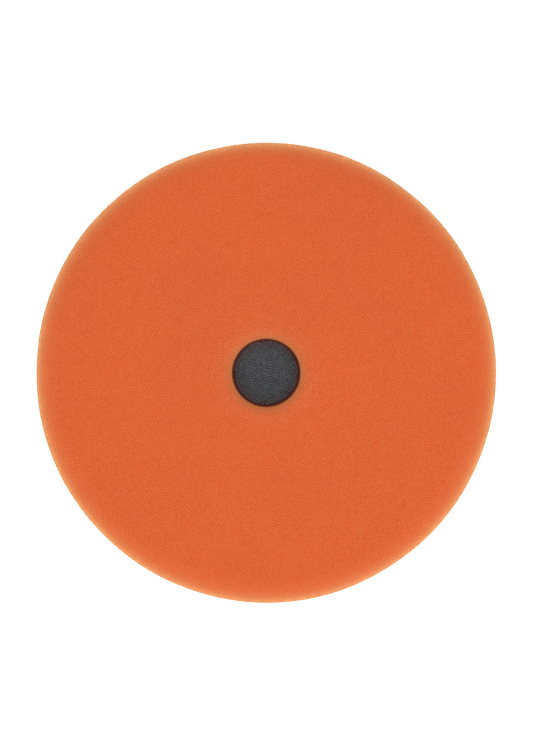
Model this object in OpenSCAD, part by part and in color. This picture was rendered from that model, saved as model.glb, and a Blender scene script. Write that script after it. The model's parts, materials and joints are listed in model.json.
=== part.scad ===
// Round foam polishing pad, built as the bonded sandwich that it is.
// The pad lies on its loop side. +Z runs along the pad's axis, out of the working face,
// and the origin is the centre of the loop side, where the pad meets its backing plate.
// All sizes are in millimetres.

/* [Outline] */
// Diameter across the pad's widest ring
pad_d = 150; // [120:1:180]
// Radius of the rounded shoulder between the working face and the side
shoulder_r = 9; // [5:0.5:10]
// Angle by which the side draws in towards the backing, from the pad's axis
side_taper = 11; // [0:1:15]

/* [Centre hole] */
// Diameter of the centre hole, which ends blind on the interface foam
hole_d = 22; // [12:1:30]
// Radius of the softened rim round the hole's mouth
mouth_r = 4; // [1:0.5:6]

/* [Layers] */
// Thickness of the face foam, which does the polishing
face_h = 18; // [15:1:30]
// Thickness of the firmer foam behind it
interface_h = 5; // [3:0.5:10]
// Thickness of each hot-melt film that bonds two layers
bond_h = 0.3; // [0.2:0.1:0.6]
// Thickness of the knitted ground of the loop fastener
cloth_h = 0.5; // [0.4:0.1:1]
// Height of the nylon loops that stand out of the cloth
pile_h = 1.5; // [1:0.1:3]

/* [Backing] */
// Margin of bare foam round the loop fastener's disc
backing_margin = 1.5; // [0.5:0.5:6]

/* [Hidden] */
$fn = 180;

// heights of the layers' lower faces, from the loop side up
cloth_z = pile_h;
rear_bond_z = cloth_z + cloth_h;
interface_z = rear_bond_z + bond_h;
front_bond_z = interface_z + interface_h;
face_z = front_bond_z + bond_h;
top_z = face_z + face_h;

// centre of the shoulder's arc, and the point where the side leaves it
shoulder_x = pad_d / 2 - shoulder_r;
shoulder_z = top_z - shoulder_r;
side_x = shoulder_x + shoulder_r * cos(side_taper);
side_z = shoulder_z - shoulder_r * sin(side_taper);

// the side's radius at a height at or below side_z
function side_r(z) = side_x - (side_z - z) * tan(side_taper);

hole_r = hole_d / 2;
backing_r = side_r(interface_z) - backing_margin;

// a slice of the pad's tapered side, from z to z + h
module tapered_slice(z, h) {
    rotate_extrude()
        polygon([[0, z], [side_r(z), z], [side_r(z + h), z + h], [0, z + h]]);
}

// a round disc with its lower face at z
module disc(r, z, h) {
    translate([0, 0, z])
        cylinder(r = r, h = h);
}

// half of the face foam's section: straight lines, closed by the two arcs
module face_section() {
    mouth_x = hole_r + mouth_r;
    mouth_z = top_z - mouth_r;
    polygon([
        [hole_r, face_z],
        [side_r(face_z), face_z],
        [side_x, side_z],
        [shoulder_x, shoulder_z],
        [shoulder_x, top_z],
        [mouth_x, top_z],
        [mouth_x, mouth_z],
        [hole_r, mouth_z]
    ]);
    translate([shoulder_x, shoulder_z])
        circle(r = shoulder_r);
    translate([mouth_x, mouth_z])
        circle(r = mouth_r);
}

// the open-cell foam that touches the paint, with its hole right through
module face_foam() {
    color([0.87, 0.40, 0.22])
        rotate_extrude()
            face_section();
}

// the hot-melt film under the face foam, a ring that stops at the hole
module front_bond() {
    color([0.32, 0.14, 0.11])
        difference() {
            tapered_slice(front_bond_z, bond_h);
            disc(hole_r, front_bond_z - 1, bond_h + 2);
        }
}

// the firmer dark foam that spreads the load and closes the hole
module interface_foam() {
    color([0.27, 0.28, 0.28])
        tapered_slice(interface_z, interface_h);
}

// the hot-melt film between the interface foam and the loop fastener
module rear_bond() {
    color([0.32, 0.14, 0.11])
        disc(backing_r, rear_bond_z, bond_h);
}

// the knitted ground that holds the loops
module backing_cloth() {
    color([0.16, 0.16, 0.17])
        disc(backing_r, cloth_z, cloth_h);
}

// the bed of nylon loops, as one closed disc of their full height
module loop_pile() {
    color([0.22, 0.22, 0.23])
        disc(backing_r, 0, pile_h);
}

face_foam();
front_bond();
interface_foam();
rear_bond();
backing_cloth();
loop_pile();
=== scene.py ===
"""A foam polishing pad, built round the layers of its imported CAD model: two cut foams with open cells,
the hot-melt films between the layers, the knitted ground of the loop fastener and its bed of nylon
loops. The pad lies on its loops on a pale studio floor, and the camera looks straight down at its face."""

import json
import math

import bpy
import numpy as np
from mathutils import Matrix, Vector
from mathutils.geometry import delaunay_2d_cdt


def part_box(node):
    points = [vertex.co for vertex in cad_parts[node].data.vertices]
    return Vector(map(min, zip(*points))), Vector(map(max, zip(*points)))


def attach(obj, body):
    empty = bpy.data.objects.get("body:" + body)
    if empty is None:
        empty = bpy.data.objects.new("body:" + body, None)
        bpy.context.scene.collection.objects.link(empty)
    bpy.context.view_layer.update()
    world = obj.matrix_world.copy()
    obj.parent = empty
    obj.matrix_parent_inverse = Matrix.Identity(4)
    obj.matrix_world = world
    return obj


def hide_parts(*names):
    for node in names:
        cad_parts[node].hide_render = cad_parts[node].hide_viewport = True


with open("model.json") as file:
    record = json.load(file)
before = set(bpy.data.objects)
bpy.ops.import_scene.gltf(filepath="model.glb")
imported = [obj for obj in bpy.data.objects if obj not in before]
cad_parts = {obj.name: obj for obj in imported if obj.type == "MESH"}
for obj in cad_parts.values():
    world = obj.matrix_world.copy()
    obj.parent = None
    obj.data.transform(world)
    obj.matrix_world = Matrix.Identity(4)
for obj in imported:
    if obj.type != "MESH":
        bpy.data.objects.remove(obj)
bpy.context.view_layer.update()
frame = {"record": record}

# --- Driving dimensions, in metres ---------------------------------------------------------------------

MM = 0.001
MOUNTS = {mount["name"]: mount for mount in frame["record"]["mounts"]}

# the pad's section, as the CAD layers have it
PAD_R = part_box("face_foam")[1].x
HOLE_R = MOUNTS["centre_hole"]["dims"]["r_mm"] * MM
BACKING_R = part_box("backing_cloth")[1].x
FACE_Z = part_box("face_foam")[0].z
TOP_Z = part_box("face_foam")[1].z
SHOULDER_R = 9.0 * MM
MOUTH_R = 4.0 * MM
SIDE_TAPER = math.radians(11)

# the foams' cells: pitch is the distance between neighbours
CELL = 0.86 * MM  # pitch on a ground face
SIDE_CELL = 1.5 * MM  # pitch on the face foam's side and in its hole, where it was cut
HIDDEN_CELL = 6.0 * MM  # pitch where a face is bonded and nothing shows
CELL_GROWTH = 0.4  # how much the pitch may grow along the surface, as a share of the way
CELL_NUDGE = 0.20  # how far a cell is nudged from an even spread, as a share of its pitch
RELAX_PASSES = 3  # times that the gaps between cells are evened out
CELL_VARIETY = 0.15  # how much one cell's depth differs from the next
FACE_CELL_DEPTH = 0.12 * MM  # depth of a face foam's cell of pitch CELL; wider ones are deeper
INTERFACE_CELL_DEPTH = 0.25 * MM
CUT_WAVE = 0.06 * MM  # how far a cut face wanders from its true shape
CUT_WAVE_LENGTH = 30 * MM

# openness is how deep the cells lie open: 1 on a ground face, 0 on a bonded one
WALL_OPEN = 0.4  # the hole's wall, which the cutter smeared
SHOULDER_OPEN = 0.8  # the foot of the rounded edge's ground part
SIDE_OPEN = 1.25  # the side and the widest ring, which a blade cut
FINE_DOWN_TO = 25  # degrees above the widest ring, where the ground edge ends and the cut side begins
SHADED_LINING_UP_TO = 14  # degrees into the mouth's rounding, up to which the hole's wall takes a darker copy of the foam as painted shade, and where the lit face's sheen begins

# painted shade of the foam's cells, where 0 is the palest strut and 1 is the bottom of a pit
STRUT_SHADE = 0.25  # the darkest strut
CLOSED_SHADE = 0.36  # foam whose cells aren't open
FULL_SHADE = 0.65  # where the pit's colour is reached

# the hot-melt films
FILM_WANDER = 0.10 * MM  # how far a film's edge creeps out and in
FILM_BULGE = 0.08 * MM  # how far its edge swells
FILM_LIP = 0.50 * MM  # how far the front film stands out into the centre hole, as a dark ring of painted shadow at the foot of the hole's wall
FILM_RINGS = 7  # rings of points round an edge

# painted light round the centre hole: how strong each is at some distances outward from the hole's wall
PAINTED_BOUNCE_AT = np.array([-2.6, 0, 2.6]) * MM  # painted reddish bounce light from the orange wall, on the hole's floor next to it
PAINTED_BOUNCE_SHARE = (0, 1, 0)
# the painted bounce light's tint: much redder
PAINTED_BOUNCE_TINT = (1.8, 1.03, 0.97, 1)
PAINTED_SHEEN_AT = np.array([0.2, 1, 3, 8]) * MM  # painted sheen, which makes the mouth's rounding paler
PAINTED_SHEEN_SHARE = (0.1, 1, 0.4, 0)
# the painted sheen's tint: paler and bluer, a little darker in red
PAINTED_SHEEN_TINT = (0.97, 1.28, 1.65, 1)
NO_TINT = (1, 1, 1, 1)

# the loop fastener's ground
WALE = 1.25 * MM  # distance between rows of loops
COURSE = 1.15 * MM  # distance between loops in a row
ZIGZAG = 0.16 * COURSE  # how far a stitch sways to either side of its row
COURSE_DIP = 0.3  # how far a rib dips between two stitches, as a share of the relief
KNIT_RELIEF = 0.09 * MM  # how far a rib stands out from a groove
KNIT_UNEVEN = 0.12  # spread of the stitches' heights, as a share of the relief
EDGE_HEIGHT = 0.3  # height of the cut edge, as a share of the relief
FRAY = 0.07 * MM  # how far the cut edge wanders

# its loops
YARN_R = 0.10 * MM
LOOP_STEPS = 8  # lengths of yarn in a loop
YARN_SIDES = 4
LOOP_GROUPS = 4  # pieces that the loops are dealt out to, row by row
LOOP_BEND = 140  # degrees that a bow turns on either side of its top
LOOP_ROOT = 0.15 * MM  # how far the feet go into the ground
LOOP_HEIGHTS = (0.84, 1.06)  # as a share of the room under the ground
LOOP_WIDTHS = np.array([0.34, 0.52]) * MM  # from a loop's middle to its side
LOOP_YAW = 0.55  # spread of the loops' turns, in radians
LOOP_LEAN = 0.30  # spread of their slants

GOLDEN_ANGLE = math.pi * (3 - math.sqrt(5))
SAMPLE = 0.1 * MM  # step along a section's outline
ARC_POINTS = 64  # points on each arc of a section
AROUND = 720  # points round a turned edge
UV_HALF = 0.49  # half the width that a flat map takes of the bake's picture
UV_CORNER = 0.01  # half the width of the corner where hidden faces are put away


# --- Mesh helpers --------------------------------------------------------------------------------------


def make_object(name, points, faces, uv=None, values=None, smooth=True):
    """A mesh object from arrays of points and faces, with UVs for each face corner and named numbers
    for each point."""
    mesh = bpy.data.meshes.new(name)
    corners = faces.shape[1]
    mesh.vertices.add(len(points))
    mesh.vertices.foreach_set("co", np.asarray(points, np.float32).ravel())
    mesh.loops.add(faces.size)
    mesh.loops.foreach_set("vertex_index", faces.astype(np.int32).ravel())
    mesh.polygons.add(len(faces))
    mesh.polygons.foreach_set("loop_start", np.arange(0, faces.size, corners, dtype=np.int32))
    mesh.update(calc_edges=True)
    mesh.polygons.foreach_set("use_smooth", np.full(len(faces), smooth))
    if uv is not None:
        layer = mesh.uv_layers.new(name="OFBake")
        layer.data.foreach_set("uv", np.asarray(uv, np.float32).ravel())
    for key, numbers in (values or {}).items():
        attribute = mesh.attributes.new(key, "FLOAT", "POINT")
        attribute.data.foreach_set("value", np.asarray(numbers, np.float32))
    mesh.validate()
    piece = bpy.data.objects.new(name, mesh)
    bpy.context.scene.collection.objects.link(piece)
    return piece


def drop_unused(points, faces, values):
    """The same mesh without the points that no face uses."""
    used = np.unique(faces)
    place = np.full(len(points), -1)
    place[used] = np.arange(len(used))
    return points[used], place[faces], {key: numbers[used] for key, numbers in values.items()}


def slow_wave(points, length, seed):
    """A smooth number from about -1 to 1 for each point, which changes over about that length."""
    rng = np.random.default_rng(seed)
    total = np.zeros(len(points))
    waves = 6
    shortest, longest = 0.7, 1.6  # of the length
    for _ in range(waves):
        direction = rng.normal(size=3)
        direction /= np.linalg.norm(direction)
        turns = 2 * math.pi / (length * rng.uniform(shortest, longest))
        total += np.sin(points @ direction * turns + rng.uniform(0, 2 * math.pi))
    return total / math.sqrt(waves * 2)


def round_edge(radius, corners=AROUND):
    """Points evenly spaced on a circle round the axis, at height 0."""
    angle = np.arange(corners) * 2 * math.pi / corners
    return np.stack([radius * np.cos(angle), radius * np.sin(angle), np.zeros(corners)], 1)


def bake_map(flat, faces, reach, hidden):
    """UVs for a bake: the flat map fills the picture out to reach, and the hidden faces share a corner."""
    uv = (0.5 + UV_HALF * flat / reach)[faces]
    corner = UV_CORNER * (flat / np.abs(flat).max() + 1)
    uv[hidden] = corner[faces[hidden]]
    return uv


# --- Section outlines ----------------------------------------------------------------------------------


def arc(centre, radius, start, end):
    """Points on an arc of a section, with angles in degrees from the outward radius, upward."""
    angles = np.radians(np.linspace(start, end, ARC_POINTS))
    return np.stack([centre[0] + radius * np.cos(angles), centre[1] + radius * np.sin(angles)], 1)


def outline(runs):
    """A section's outline from runs of (points, cell pitch, openness at the start, openness at the end).
    Gives for each sample its distance along the outline, radius, height, outward normal, cell pitch,
    openness, and its radius on the flat map that keeps every shape. Also gives how far along the
    outline its faces show."""
    line = []
    pitch = []
    openness = []
    for points, cell, open_first, open_last in runs:
        steps = np.linalg.norm(np.diff(points, axis=0), axis=1)
        along = np.concatenate([[0], np.cumsum(steps)])
        count = max(2, round(along[-1] / SAMPLE))
        at = np.linspace(0, along[-1], count + 1)
        line.append(np.stack([np.interp(at, along, points[:, i]) for i in (0, 1)], 1)[:-1])
        pitch.append(np.full(count, cell))
        openness.append(np.linspace(open_first, open_last, count))
    line = np.concatenate([*line, runs[-1][0][-1:]])
    pitch = np.append(np.concatenate(pitch), runs[-1][1])
    openness = np.append(np.concatenate(openness), runs[-1][3])
    steps = np.linalg.norm(np.diff(line, axis=0), axis=1)
    s = np.concatenate([[0], np.cumsum(steps)])
    gap = np.abs(s[:, None] - s[None])
    if np.allclose(line[0], line[-1]):
        gap = np.minimum(gap, s[-1] - gap)
    tangent = np.gradient(line, s, axis=0)
    tangent /= np.linalg.norm(tangent, axis=1)[:, None]
    from_bond = gap[:, openness == 0].min(1)
    middle_r = (line[1:, 0] + line[:-1, 0]) / 2
    return {
        "s": s,
        "r": line[:, 0],
        "z": line[:, 1],
        "normal_r": -tangent[:, 1],
        "normal_z": tangent[:, 0],
        "pitch": (pitch[None] + CELL_GROWTH * gap).min(1),
        "open": openness * np.clip(from_bond / CELL, 0, 1),
        "rho": line[0, 0] * np.exp(np.concatenate([[0], np.cumsum(steps / middle_r)])),
        "shown_to": s[openness > 0].max(),
    }


def side_radius(z):
    """Radius of the pad's tapered side at a height below its shoulder."""
    shoulder_x = PAD_R - SHOULDER_R
    side_x = shoulder_x + SHOULDER_R * math.cos(SIDE_TAPER)
    side_z = TOP_Z - SHOULDER_R - SHOULDER_R * math.sin(SIDE_TAPER)
    return side_x - (side_z - z) * math.tan(SIDE_TAPER)


def face_outline():
    """From the foot of the hole's wall, over the mouth, the face, the shoulder and the side, and back under
    the bonded face to where it began."""
    foot = (HOLE_R, FACE_Z)
    mouth = arc((HOLE_R + MOUTH_R, TOP_Z - MOUTH_R), MOUTH_R, 180, 90)
    shoulder_centre = (PAD_R - SHOULDER_R, TOP_Z - SHOULDER_R)
    shoulder = arc(shoulder_centre, SHOULDER_R, 90, FINE_DOWN_TO)
    lower_shoulder = arc(shoulder_centre, SHOULDER_R, FINE_DOWN_TO, -math.degrees(SIDE_TAPER))
    hem = (side_radius(FACE_Z), FACE_Z)
    return outline(
        [
            (np.array([foot, mouth[0]]), SIDE_CELL, WALL_OPEN, WALL_OPEN),
            (mouth, CELL, WALL_OPEN, 1),
            (np.array([mouth[-1], shoulder[0]]), CELL, 1, 1),
            (shoulder, CELL, 1, SHOULDER_OPEN),
            (lower_shoulder, SIDE_CELL, SIDE_OPEN, SIDE_OPEN),
            (np.array([lower_shoulder[-1], hem]), SIDE_CELL, SIDE_OPEN, SIDE_OPEN),
            (np.array([hem, foot]), HIDDEN_CELL, 0, 0),
        ]
    )


def interface_outline():
    """From the middle of the hole's floor, under the bond, down the side, and in under the loop fastener."""
    low, high = (corner.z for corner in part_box("interface_foam"))
    start = (0.5 * CELL, high)
    brim = (side_radius(high), high)
    hem = (side_radius(low), low)
    end = (2 * HIDDEN_CELL, low)
    return outline(
        [
            (np.array([start, (HOLE_R, high)]), CELL, 1, 1),
            (np.array([(HOLE_R, high), brim]), HIDDEN_CELL, 0, 0),
            (np.array([brim, hem]), CELL, 1, 1),
            (np.array([hem, (BACKING_R, low)]), CELL, 1, 1),
            (np.array([(BACKING_R, low), end]), HIDDEN_CELL, 0, 0),
        ]
    )


# --- Cut foam ------------------------------------------------------------------------------------------


def scatter_cells(path, rng):
    """Cell centres spread evenly over a round solid: a sunflower's spiral, each cell then nudged at random.
    Gives each cell's distance along the outline and its angle."""
    cell_area = math.sqrt(3) / 2 * path["pitch"] ** 2  # as in a honeycomb
    density = 2 * math.pi * path["r"] / cell_area
    steps = np.diff(path["s"])
    total = np.concatenate([[0], np.cumsum((density[1:] + density[:-1]) / 2 * steps)])
    count = int(total[-1])
    s = np.interp((np.arange(count) + 0.5) / count * total[-1], total, path["s"])
    angle = np.arange(count) * GOLDEN_ANGLE
    pitch = np.interp(s, path["s"], path["pitch"])
    radius = np.interp(s, path["s"], path["r"])
    s = s + rng.normal(0, CELL_NUDGE, count) * pitch
    angle = angle + rng.normal(0, CELL_NUDGE, count) * pitch / radius
    first, last = path["pitch"][[0, -1]] / 2
    keep = (s > first) & (s < path["s"][-1] - last)
    return s[keep], angle[keep]


def ring_of_points(path, end, count):
    """Evenly spaced points round the outline's first or last sample."""
    return np.full(count, path["s"][end]), np.arange(count) * 2 * math.pi / count


def triangles_between(flat):
    """Delaunay triangles of points in the plane, each counter-clockwise."""
    size = np.abs(flat).max()
    merge_within = 1e-9
    found = delaunay_2d_cdt([Vector(p) for p in flat / size], [], [], 0, merge_within)
    triangles = np.array(found[2])
    back = np.array([ids[0] for ids in found[3]])
    triangles = back[triangles]
    a, b, c = (flat[triangles[:, i]] for i in range(3))
    turn = (b[:, 0] - a[:, 0]) * (c[:, 1] - a[:, 1]) - (b[:, 1] - a[:, 1]) * (c[:, 0] - a[:, 0])
    triangles[turn < 0] = triangles[turn < 0][:, ::-1]
    return triangles


def relax(flat, fixed):
    """Moves each point to the middle of the triangles round it, which evens out the gaps. The first points,
    fixed in number, stay where they are."""
    triangles = triangles_between(flat)
    middles = flat[triangles].mean(1)
    total = np.zeros_like(flat)
    count = np.zeros(len(flat))
    for corner in range(3):
        np.add.at(total, triangles[:, corner], middles)
        np.add.at(count, triangles[:, corner], 1)
    moved = total / count[:, None]
    moved[:fixed] = flat[:fixed]
    return moved


def walls_between_cells(triangles, count):
    """Turns triangles between cell centres into the faces of the cells. Each triangle's middle becomes a
    junction of struts, numbered from count, and each cell is a fan from its bottom to its junctions."""
    start = triangles.ravel()
    end = np.roll(triangles, -1, axis=1).ravel()
    own = np.repeat(np.arange(len(triangles)), 3)
    key = start * count + end
    order = np.argsort(key)
    twin_key = end * count + start
    at = np.searchsorted(key, twin_key, sorter=order).clip(0, len(key) - 1)
    twin = order[at]
    paired = key[twin] == twin_key
    inside = np.stack([start, count + own[twin], count + own], 1)[paired]
    border = np.stack([start, end, count + own], 1)[~paired]
    return np.concatenate([inside, border])


def cut_foam(name, path, depth, seed, hollow, shaded_lining_to=0):
    """One closed mesh of open-celled foam along an outline. A hollow one's outline ends where it began,
    and a full one's ends close to the axis, where a fan of faces shuts it. Faces up to shaded_lining_to
    along the outline take the piece's second material, a darker copy which paints shade on them."""
    rng = np.random.default_rng(seed)
    ring = round(2 * math.pi * path["r"][-1] / path["pitch"][-1])
    parts = [ring_of_points(path, -1, ring), scatter_cells(path, rng)]
    if hollow:
        parts.insert(0, ring_of_points(path, 0, ring))
    s = np.concatenate([part[0] for part in parts])
    angle = np.concatenate([part[1] for part in parts])
    rings = ring * (len(parts) - 1)
    cells = len(s)

    rho = np.interp(s, path["s"], path["rho"])
    flat = np.stack([rho * np.cos(angle), rho * np.sin(angle)], 1)
    for _ in range(RELAX_PASSES):
        flat = relax(flat, rings)
    triangles = triangles_between(flat)
    if hollow:
        triangles = triangles[(triangles >= ring).any(1)]
    faces = walls_between_cells(triangles, cells)

    flat = np.concatenate([flat, flat[triangles].mean(1)])
    s = np.interp(np.linalg.norm(flat, axis=1), path["rho"], path["s"])
    angle = np.arctan2(flat[:, 1], flat[:, 0])

    is_cell = np.zeros(len(s), bool)
    is_cell[rings:cells] = True
    openness = np.interp(s, path["s"], path["open"])
    size = rng.uniform(1 - CELL_VARIETY, 1 + CELL_VARIETY, len(s))
    scale = np.interp(s, path["s"], path["pitch"]) / CELL
    sink = np.where(is_cell, size, (size - 1) / 2) * depth * scale * openness
    radius = np.interp(s, path["s"], path["r"])
    normal_r = np.interp(s, path["s"], path["normal_r"])
    normal_z = np.interp(s, path["s"], path["normal_z"])
    height = np.interp(s, path["s"], path["z"])
    round_xy = np.stack([np.cos(angle), np.sin(angle)], 1)
    surface = np.concatenate([round_xy * radius[:, None], height[:, None]], 1)
    outward = np.concatenate([round_xy * normal_r[:, None], normal_z[:, None]], 1)
    wave = slow_wave(surface, CUT_WAVE_LENGTH, seed) * CUT_WAVE * openness
    points = surface + outward * (wave - sink)[:, None]
    # painted shade: darkest at the bottom of each cell's pit, and the deeper the cell the darker
    shade = np.where(is_cell, size, rng.uniform(0, STRUT_SHADE, len(s)))
    values = {
        "painted_pit_shade": CLOSED_SHADE + np.minimum(openness, 1) * (shade - CLOSED_SHADE),
        "tone": np.where(is_cell, rng.uniform(-1, 1, len(s)), 0),
    }

    reach = np.interp(path["shown_to"], path["s"], path["rho"])
    uv = bake_map(flat, faces, reach, (s[faces] > path["shown_to"]).all(1))
    # faces that take the darker copy of the foam, as painted shade
    shaded_lining = s[faces].mean(1) < shaded_lining_to
    if hollow:
        faces = np.where((faces >= ring) & (faces < 2 * ring), faces - ring, faces)
    else:
        points, faces, uv, values = shut_end(points, faces, uv, values, ring, path)
    points, faces, values = drop_unused(points, faces, values)
    piece = make_object(name, points, faces, uv, values, smooth=False)
    if shaded_lining_to:
        piece.data.polygons.foreach_set("material_index", shaded_lining.astype(np.int32))
    return piece


def shut_end(points, faces, uv, values, ring, path):
    """Shuts a full solid's last ring of points with a fan of faces round a point on the axis."""
    middle = len(points)
    this = np.arange(ring)
    fan = np.stack([np.roll(this, -1), this, np.full(ring, middle)], 1)
    points = np.concatenate([points, [[0, 0, path["z"][-1]]]])
    values = {key: np.concatenate([numbers, [0]]) for key, numbers in values.items()}
    uv = np.concatenate([uv, np.zeros((ring, 3, 2))])
    return points, np.concatenate([faces, fan]), uv, values


# --- Turned films, knitted ground and loops ------------------------------------------------------------


def turned(rings, ends):
    """Points and triangles of a surface turned round the axis. rings holds the radius and height of every
    ring of points at every angle. ends are the heights on the axis where fans shut it; without ends, the
    last ring meets the first."""
    count, around = rings.shape[:2]
    angle = np.arange(around) * 2 * math.pi / around
    radius = rings[..., 0]
    points = np.stack([radius * np.cos(angle), radius * np.sin(angle), rings[..., 1]], 2).reshape(-1, 3)
    this = np.arange(around)
    after = np.roll(this, -1)
    faces = []
    for ring in range(count if not ends else count - 1):
        low = ring * around
        high = (ring + 1) % count * around
        faces.append(np.stack([low + this, low + after, high + after], 1))
        faces.append(np.stack([low + this, high + after, high + this], 1))
    if ends:
        hub = len(points)
        last = (count - 1) * around
        points = np.concatenate([points, [[0, 0, ends[0]], [0, 0, ends[1]]]])
        faces.append(np.stack([after, this, np.full(around, hub)], 1))
        faces.append(np.stack([last + this, last + after, np.full(around, hub + 1)], 1))
    return points, np.concatenate(faces)


def film_edge(radius, low, high, outward, seed):
    """The rings of a film's edge, from its lower face up: a shallow swell that wanders round the pad."""
    long_wave = 14 * MM
    short_wave = 3 * MM
    rim = round_edge(radius)
    wander = FILM_WANDER * (slow_wave(rim, long_wave, seed) + slow_wave(rim, short_wave, seed + 1) / 2)
    turn = np.radians(np.linspace(-90, 90, FILM_RINGS))[:, None]
    swell = FILM_BULGE * np.cos(turn) + wander
    height = (low + high) / 2 + (high - low) / 2 * np.sin(turn)
    return np.stack([radius + outward * swell, np.broadcast_to(height, swell.shape)], 2)


def planar_uv(points, faces, hidden):
    """UVs as seen along the axis."""
    flat = points[:, :2]
    return bake_map(flat, faces, np.abs(flat).max(), hidden)


def film(name, rings, ends):
    """A film's closed mesh from the rings of its section. Its two level faces are bonded and share one
    corner of the bake, since no more of them shows than a lip in the hole."""
    points, faces = turned(rings, ends)
    a, b, c = (points[faces[:, i]] for i in range(3))
    normal = np.cross(b - a, c - a)
    upright = 0.98  # the least share of a level face's normal that points along the axis
    level = np.abs(normal[:, 2]) > upright * np.linalg.norm(normal, axis=1)
    return make_object(name, points, faces, planar_uv(points, faces, level))


def ring_film(name, low, high, inner_r, outer_r, seed):
    """A film with a hole, whose section runs up its outer edge and down its inner one."""
    outer = film_edge(outer_r, low, high, 1, seed)
    inner = film_edge(inner_r, low, high, -1, seed + 10)
    return film(name, np.concatenate([outer, inner[::-1]]), None)


def disc_film(name, low, high, outer_r, seed):
    """A film without a hole, whose section runs up its edge."""
    return film(name, film_edge(outer_r, low, high, 1, seed), (low, high))


def stitch_grid():
    """Where the knitted ground's stitches stand: two points to a course and two to a wale, in the round,
    and how high each point lies, from 0 in a groove to 1 on a rib."""
    edge_gap = 0.3 * MM
    across = math.ceil(BACKING_R / COURSE * 2)
    places = np.arange(-across, across + 1)
    course, wale = np.meshgrid(places, places, indexing="ij")
    x = course * COURSE / 2
    y = wale * WALE / 2 + ZIGZAG * np.where(course % 2, 1, -1)
    rib = np.where(wale % 2, 0, 1) - COURSE_DIP * (course % 2)
    inside = np.hypot(x, y) < BACKING_R - edge_gap
    return np.stack([x[inside], y[inside]], 1), rib[inside]


def knitted_ground(name, low, high, seed):
    """The ground's closed mesh: ribbed below, flat where it is bonded, with a cut edge that isn't quite
    true."""
    fray_length = 1.5 * MM
    rng = np.random.default_rng(seed)
    inner, rib = stitch_grid()
    edge = round_edge(BACKING_R)
    fray = FRAY * slow_wave(edge, fray_length, seed)
    flat = np.concatenate([edge[:, :2], inner])
    triangles = triangles_between(flat)[:, ::-1]
    lift = np.concatenate([np.full(AROUND, EDGE_HEIGHT), rib]) + rng.normal(0, KNIT_UNEVEN, len(flat))
    flat[:AROUND] *= (1 + fray / BACKING_R)[:, None]
    under = np.concatenate([flat, (low + KNIT_RELIEF * (1 - lift))[:, None]], 1)
    upper = under[:AROUND].copy()
    upper[:, 2] = high
    points = np.concatenate([under, upper, [[0, 0, high]]])
    this = np.arange(AROUND)
    after = np.roll(this, -1)
    top = len(under)
    wall = [np.stack([this, after, top + after], 1), np.stack([this, top + after, top + this], 1)]
    cover = np.stack([top + this, top + after, np.full(AROUND, len(points) - 1)], 1)
    faces = np.concatenate([triangles, *wall, cover])
    hidden = np.arange(len(faces)) >= len(faces) - len(cover)
    return make_object(name, points, faces, planar_uv(points, faces, hidden))


def loop_places():
    """The middle of each loop, staggered along the wales of the ground, and the piece it is dealt to."""
    edge_gap = 0.4 * COURSE
    rows = math.ceil(BACKING_R / WALE)
    courses = math.ceil(BACKING_R / COURSE)
    row, course = np.meshgrid(np.arange(-rows, rows + 1), np.arange(-courses, courses + 1), indexing="ij")
    x = (course + (row % 2) / 2) * COURSE
    y = row * WALE
    inside = np.hypot(x, y) < BACKING_R - edge_gap
    return x[inside], y[inside], row[inside] % LOOP_GROUPS


def loop_paths(x, y, foot_z, rng):
    """The middle of each loop's yarn, from foot to foot: a round bow that leans a little and is pressed
    flat where it meets what the pad lies on. Also gives the direction across each loop."""
    count = len(x)
    turn = np.radians(np.linspace(-LOOP_BEND, LOOP_BEND, LOOP_STEPS + 1))
    tall = foot_z * rng.uniform(*LOOP_HEIGHTS, (count, 1))
    wide = rng.uniform(*LOOP_WIDTHS, (count, 1))
    yaw = rng.normal(0, LOOP_YAW, (count, 1))
    lean = rng.normal(0, LOOP_LEAN, (count, 2))
    up = (np.cos(turn) - np.cos(turn[0])) / (1 - np.cos(turn[0])) * (tall + LOOP_ROOT) - LOOP_ROOT
    along = np.sin(turn) * wide
    path = np.stack(
        [
            x[:, None] + along * np.cos(yaw) + lean[:, :1] * up,
            y[:, None] + along * np.sin(yaw) + lean[:, 1:] * up,
            np.maximum(foot_z - up, YARN_R),
        ],
        2,
    )
    across = np.concatenate([-np.sin(yaw), np.cos(yaw), np.zeros_like(yaw)], 1)
    return path, across


def yarn_tube():
    """Triangles and UVs of one loop's tube with both ends shut, from rings of points along it."""
    step, side = np.meshgrid(np.arange(LOOP_STEPS), np.arange(YARN_SIDES), indexing="ij")
    step, side = step.ravel(), side.ravel()
    after = (side + 1) % YARN_SIDES
    a, b = step * YARN_SIDES + side, step * YARN_SIDES + after
    c, d = b + YARN_SIDES, a + YARN_SIDES
    uv = np.stack([step / LOOP_STEPS, side / YARN_SIDES], 1)
    right, up = np.array([1 / LOOP_STEPS, 0]), np.array([0, 1 / YARN_SIDES])
    faces = [np.stack([a, b, c], 1), np.stack([a, c, d], 1)]
    uvs = [np.stack([uv, uv + up, uv + up + right], 1), np.stack([uv, uv + up + right, uv + right], 1)]
    last = LOOP_STEPS * YARN_SIDES
    for corner in range(1, YARN_SIDES - 1):
        faces.append(np.array([[0, corner + 1, corner], [last, last + corner, last + corner + 1]]))
        uvs.append(np.zeros((2, 3, 2)))
    return np.concatenate(faces), np.concatenate(uvs)


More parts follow.
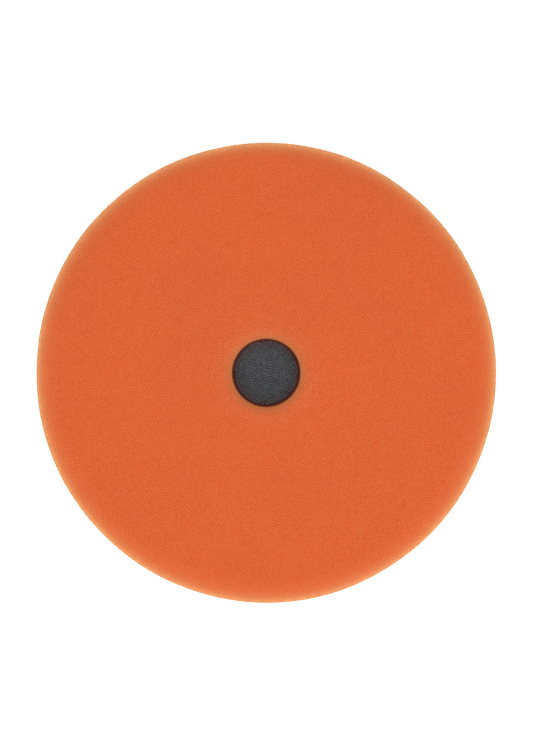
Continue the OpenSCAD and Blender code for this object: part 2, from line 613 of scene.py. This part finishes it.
def loop_rows(name, x, y, foot_z, seed):
    """One mesh with a bow of yarn at each place."""
    rng = np.random.default_rng(seed)
    path, across = loop_paths(x, y, foot_z, rng)
    along = np.gradient(path, axis=1)
    along /= np.linalg.norm(along, axis=2)[..., None]
    inward = np.cross(along, across[:, None])
    inward /= np.linalg.norm(inward, axis=2)[..., None]
    across = np.cross(inward, along)
    angle = np.arange(YARN_SIDES) * 2 * math.pi / YARN_SIDES
    ring = inward[:, :, None] * np.cos(angle)[:, None] + across[:, :, None] * np.sin(angle)[:, None]
    points = (path[:, :, None] + ring * YARN_R).reshape(-1, 3)
    points[:, 2] = np.maximum(points[:, 2], 0)
    template, template_uv = yarn_tube()
    start = np.arange(len(x)) * (LOOP_STEPS + 1) * YARN_SIDES
    faces = (template + start[:, None, None]).reshape(-1, 3)
    columns = math.ceil(math.sqrt(len(x)))
    tile = np.stack([np.arange(len(x)) % columns, np.arange(len(x)) // columns], 1)
    margin = 0.1  # of a loop's own tile of the bake
    uv = ((tile[:, None, None] + margin + (1 - 2 * margin) * template_uv) / columns).reshape(-1, 3, 2)
    tone = np.repeat(rng.uniform(-1, 1, len(x)), (LOOP_STEPS + 1) * YARN_SIDES)
    return make_object(name, points, faces, uv, {"tone": tone})


# --- Camera, light and floor ---------------------------------------------------------------------------


def make_camera():
    """Looks straight down, from where the pad fills the right share of the picture's width."""
    pad_share = 0.8626
    low_by = 0.0106  # the pad's centre lies this share of the picture's height below the middle
    left_by = 0.0005  # and this share of its width left of the middle
    width, height = 533, 730
    data = bpy.data.cameras.new("camera")
    data.lens = 100
    data.sensor_width = 36
    camera = bpy.data.objects.new("camera", data)
    bpy.context.scene.collection.objects.link(camera)
    across = 2 * PAD_R / pad_share  # what the picture's width spans at the pad's widest ring
    distance = across * (height / width) * data.lens / data.sensor_width
    widest_z = TOP_Z - SHOULDER_R
    camera.location = (left_by * across, low_by * across * height / width, widest_z + distance)
    data.clip_start = 0.01
    data.clip_end = 20
    bpy.context.scene.camera = camera


def make_world():
    """An even studio dome: white near the horizon, softer overhead."""
    world = bpy.data.worlds.new("studio")
    bpy.context.scene.world = world
    world.use_nodes = True
    nodes = world.node_tree.nodes
    links = world.node_tree.links
    coordinate = nodes.new("ShaderNodeTexCoord")
    split = nodes.new("ShaderNodeSeparateXYZ")
    links.new(coordinate.outputs["Generated"], split.inputs[0])
    ramp = nodes.new("ShaderNodeValToRGB")
    horizon, overhead = ramp.color_ramp.elements
    horizon.position = 0.12
    horizon.color = (1, 1, 1, 1)
    overhead.position = 0.45
    overhead.color = (0.2, 0.2, 0.2, 1)
    links.new(split.outputs["Z"], ramp.inputs[0])
    links.new(ramp.outputs[0], nodes["Background"].inputs["Color"])


def make_lights():
    """A broad key straight overhead and a weak fill from the front."""
    key = bpy.data.lights.new("key", "SUN")
    key.energy = 2.1
    key.angle = math.radians(34)
    key_object = bpy.data.objects.new("key", key)
    key_object.location = (0, 0, 1)
    fill = bpy.data.lights.new("fill", "AREA")
    fill.energy = 2.6
    fill.shape = "DISK"
    fill.size = 0.9
    fill_object = bpy.data.objects.new("fill", fill)
    fill_object.location = (0.15, -0.75, 0.75)
    fill_object.rotation_euler = (math.radians(45), 0, math.radians(11.3))
    for lamp in (key_object, fill_object):
        bpy.context.scene.collection.objects.link(lamp)


def make_floor():
    """A round pale floor under the loops."""
    radius = 4
    corners = 96
    points = np.concatenate([round_edge(radius, corners), [[0, 0, 0]]])
    this = np.arange(corners)
    faces = np.stack([this, np.roll(this, -1), np.full(corners, corners)], 1)
    floor = make_object("floor", points, faces)
    floor.data.materials.append(floor_material())


# --- Materials -----------------------------------------------------------------------------------------


class Shader:
    """A material with one Principled shader, and short ways to add nodes to it."""

    def __init__(self, name, **settings):
        self.material = bpy.data.materials.new(name)
        self.material.use_nodes = True
        self.nodes = self.material.node_tree.nodes
        self.links = self.material.node_tree.links
        self.shader = self.nodes["Principled BSDF"]
        for socket, value in settings.items():
            self.shader.inputs[socket.replace("_", " ")].default_value = value
        # the axes are turned, so that no flat face runs along a noise's own grid
        turned_axes = self.nodes.new("ShaderNodeMapping")
        turned_axes.inputs["Rotation"].default_value = (0.5, 0.7, 0.3)
        self.links.new(self.nodes.new("ShaderNodeTexCoord").outputs["Object"], turned_axes.inputs["Vector"])
        self.place = turned_axes.outputs[0]

    def noise(self, size, detail=2):
        """Noise from 0 to 1 whose patches are about that many metres across."""
        node = self.nodes.new("ShaderNodeTexNoise")
        self.links.new(self.place, node.inputs["Vector"])
        node.inputs["Scale"].default_value = 1 / size
        node.inputs["Detail"].default_value = detail
        return node.outputs[0]

    def number(self, name):
        """A number that the mesh holds for each point."""
        node = self.nodes.new("ShaderNodeAttribute")
        node.attribute_name = name
        return node.outputs["Fac"]

    def spread(self, value, low, high, from_low=0, from_high=1):
        """The value, taken from one range to another."""
        node = self.nodes.new("ShaderNodeMapRange")
        self.links.new(value, node.inputs["Value"])
        limits = {"From Min": from_low, "From Max": from_high, "To Min": low, "To Max": high}
        for socket, number in limits.items():
            node.inputs[socket].default_value = number
        return node.outputs[0]

    def mix(self, share, first, second, blend="MIX"):
        """Two colours mixed by share. A colour is four numbers or a socket; a share is one or a socket."""
        node = self.nodes.new("ShaderNodeMix")
        node.data_type = "RGBA"
        node.blend_type = blend
        for socket, value in ((node.inputs[0], share), (node.inputs[6], first), (node.inputs[7], second)):
            if isinstance(value, bpy.types.NodeSocket):
                self.links.new(value, socket)
            else:
                socket.default_value = value
        return node.outputs[2]

    def bump(self, height, strength, distance):
        """Fine relief in the shader's normal."""
        node = self.nodes.new("ShaderNodeBump")
        node.inputs["Strength"].default_value = strength
        node.inputs["Distance"].default_value = distance
        self.links.new(height, node.inputs["Height"])
        self.links.new(node.outputs[0], self.shader.inputs["Normal"])

    def feed(self, socket, value):
        """Links a value to one of the shader's own sockets."""
        self.links.new(value, self.shader.inputs[socket])


def foam_material(name, strut, painted_pit_shade, painted_light, **settings):
    """Open-celled foam: pale struts round cells with painted shade in their pits, each cell a little
    different from the next. The painted light is a tint that lies where the mesh says: painted sheen on the
    orange foam, painted bounce light on the grey."""
    foam = Shader(name, **settings)
    # painted shade: the strut colour darkens to the pit colour towards the bottom of each pit
    cells = foam.mix(foam.spread(foam.number("painted_pit_shade"), 0, 1, 0, FULL_SHADE), strut, painted_pit_shade)
    own_tone = foam.spread(foam.number("tone"), 0.985, 1.015, -1, 1)
    toned = foam.mix(1.0, cells, own_tone, "MULTIPLY")
    blotch = foam.spread(foam.noise(25 * MM, 0), 0.985, 1.015, 0.3, 0.7)
    # painted light round the centre hole, laid on as a tint
    with_painted_light = foam.mix(foam.number("painted_light"), toned, painted_light, "MULTIPLY")
    foam.feed("Base Color", foam.mix(1.0, with_painted_light, blotch, "MULTIPLY"))
    fine = foam.noise(0.22 * MM, 3)
    foam.feed("Roughness", foam.spread(fine, 0.52, 0.7))
    foam.bump(fine, 0.5, 0.06 * MM)
    return foam.material


def film_material():
    """Set hot melt: dark red-brown, glossy where it flowed and dull where it was drawn. The dark red-brown
    is partly painted shade, since the front film's lip in the centre hole is a painted shadow ring at the
    foot of the hole's wall.
    """
    melt = Shader("hot_melt", Specular_IOR_Level=0.15)
    cloud = melt.noise(3 * MM)
    melt.feed("Base Color", melt.mix(cloud, (0.060, 0.015, 0.010, 1), (0.086, 0.024, 0.016, 1)))
    melt.feed("Roughness", melt.spread(melt.noise(0.8 * MM), 0.22, 0.5))
    melt.bump(melt.noise(0.5 * MM), 0.4, 0.05 * MM)
    return melt.material


def knit_material():
    """Black polyester ground: paler and darker in small patches, dusty here and there."""
    knit = Shader("knitted_polyester", Sheen_Weight=0.3, Sheen_Roughness=0.4, Specular_IOR_Level=0.3)
    tone = knit.mix(knit.noise(0.5 * MM, 3), (0.018, 0.018, 0.020, 1), (0.045, 0.045, 0.049, 1))
    dust = knit.spread(knit.noise(12 * MM), 0.9, 1.12, 0.3, 0.7)
    knit.feed("Base Color", knit.mix(1.0, tone, dust, "MULTIPLY"))
    fibre = knit.noise(0.12 * MM, 3)
    knit.feed("Roughness", knit.spread(fibre, 0.65, 0.9))
    knit.bump(fibre, 0.5, 0.04 * MM)
    return knit.material


def loop_material():
    """Nylon yarn of the loops: charcoal with a soft gloss, each loop a little different from the next."""
    nylon = Shader("nylon_loops", Sheen_Weight=0.25, Sheen_Roughness=0.35, Specular_IOR_Level=0.5)
    own_tone = nylon.spread(nylon.number("tone"), 0.7, 1.35, -1, 1)
    colour = nylon.mix(nylon.noise(0.3 * MM), (0.040, 0.040, 0.044, 1), (0.058, 0.058, 0.063, 1))
    nylon.feed("Base Color", nylon.mix(1.0, colour, own_tone, "MULTIPLY"))
    fibre = nylon.noise(0.08 * MM, 3)
    nylon.feed("Roughness", nylon.spread(fibre, 0.4, 0.62))
    nylon.bump(fibre, 0.4, 0.02 * MM)
    return nylon.material


def floor_material():
    """Smooth white studio card."""
    card = Shader("floor_card", Specular_IOR_Level=0.1)
    card.feed("Base Color", card.mix(card.noise(0.3), (0.9, 0.9, 0.9, 1), (0.92, 0.92, 0.92, 1)))
    card.shader.inputs["Roughness"].default_value = 0.9
    card.shader.inputs["Emission Color"].default_value = (1, 1, 1, 1)
    card.shader.inputs["Emission Strength"].default_value = 0.4
    return card.material


# --- The pad's pieces ----------------------------------------------------------------------------------


def fit(piece, node, material):
    """Gives a piece its material, hangs it on the root body and hides the CAD node that it stands for."""
    piece.data.materials.append(material)
    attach(piece, "root")
    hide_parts(node)
    return piece


def paint_light_round_hole(piece, distance, share):
    """Notes how strongly each point takes a painted light, which follows its distance from the hole's wall.
    """
    count = len(piece.data.vertices)
    points = np.empty(count * 3, np.float32)
    piece.data.vertices.foreach_get("co", points)
    painted_light = np.interp(np.hypot(points[0::3], points[1::3]) - HOLE_R, distance, share)
    attribute = piece.data.attributes.new("painted_light", "FLOAT", "POINT")
    attribute.data.foreach_set("value", painted_light.astype(np.float32))


def make_face_foam():
    """The orange foam. The hole's wall has a lining material, since no sheen shows down there: a darker copy
    of the foam's colours, which paints shade on the wall.
    """
    material = foam_material(
        "orange_foam",
        strut=(0.713, 0.173, 0.052, 1),
        # the pit colour is painted shade at the bottom of each cell
        painted_pit_shade=(0.655, 0.069, 0.0155, 1),
        painted_light=PAINTED_SHEEN_TINT,
        Sheen_Weight=0.7,
        Sheen_Roughness=0.5,
        Sheen_Tint=(1.0, 1.0, 0.34, 1),
        Specular_IOR_Level=0.5,
        Specular_Tint=(0.3, 0.2, 0.15, 1),
    )
    # a darker copy of the orange foam, without sheen: painted shade on the hole's wall
    shaded_lining = foam_material(
        "orange_foam_shaded_lining",
        strut=(0.67, 0.130, 0.064, 1),
        # the pit colour is painted shade at the bottom of each cell
        painted_pit_shade=(0.61, 0.068, 0.026, 1),
        painted_light=NO_TINT,
        Specular_IOR_Level=0.1,
    )
    shaded_lining_reach = TOP_Z - MOUTH_R - FACE_Z + MOUTH_R * math.radians(SHADED_LINING_UP_TO)
    piece = cut_foam(
        "face_foam_cells", face_outline(), FACE_CELL_DEPTH, seed=11, hollow=True, shaded_lining_to=shaded_lining_reach
    )
    # painted sheen on the rounding of the hole's mouth
    paint_light_round_hole(piece, PAINTED_SHEEN_AT, PAINTED_SHEEN_SHARE)
    fit(piece, "face_foam", material)
    piece.data.materials.append(shaded_lining)


def make_interface_foam():
    """The dark foam behind, whose face is the floor of the centre hole."""
    material = foam_material(
        "grey_foam",
        strut=(0.134, 0.161, 0.169, 1),
        # the pit colour is painted shade at the bottom of each cell
        painted_pit_shade=(0.028, 0.031, 0.034, 1),
        painted_light=PAINTED_BOUNCE_TINT,
        Sheen_Weight=0.2,
        Specular_IOR_Level=0.3,
    )
    piece = cut_foam(
        "interface_foam_cells", interface_outline(), INTERFACE_CELL_DEPTH, seed=12, hollow=False
    )
    # painted reddish bounce light on the hole's floor, next to the wall
    paint_light_round_hole(piece, PAINTED_BOUNCE_AT, PAINTED_BOUNCE_SHARE)
    fit(piece, "interface_foam", material)


def make_films():
    """The two hot-melt films: a ring behind the face foam and a disc behind the interface foam."""
    material = film_material()
    low, high = (corner.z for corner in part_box("front_bond"))
    outer_r = side_radius((low + high) / 2)
    front = ring_film("front_bond_film", low, high, HOLE_R - FILM_LIP, outer_r, seed=21)
    fit(front, "front_bond", material)
    low, high = (corner.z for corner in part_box("rear_bond"))
    rear = disc_film("rear_bond_film", low, high, BACKING_R, seed=31)
    fit(rear, "rear_bond", material)


def make_loop_fastener():
    """The knitted ground and its loops, one sheet that was cut as a disc."""
    low, high = (corner.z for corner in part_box("backing_cloth"))
    ground = knitted_ground("knitted_ground", low, high, seed=41)
    fit(ground, "backing_cloth", knit_material())
    material = loop_material()
    x, y, group = loop_places()
    for number in range(LOOP_GROUPS):
        chosen = group == number
        piece = loop_rows(f"loop_rows_{number + 1}", x[chosen], y[chosen], low, seed=51 + number)
        fit(piece, "loop_pile", material)


bpy.context.scene.view_settings.view_transform = "Standard"
make_camera()
make_face_foam()
make_interface_foam()
make_films()
make_loop_fastener()
make_world()
make_lights()
make_floor()
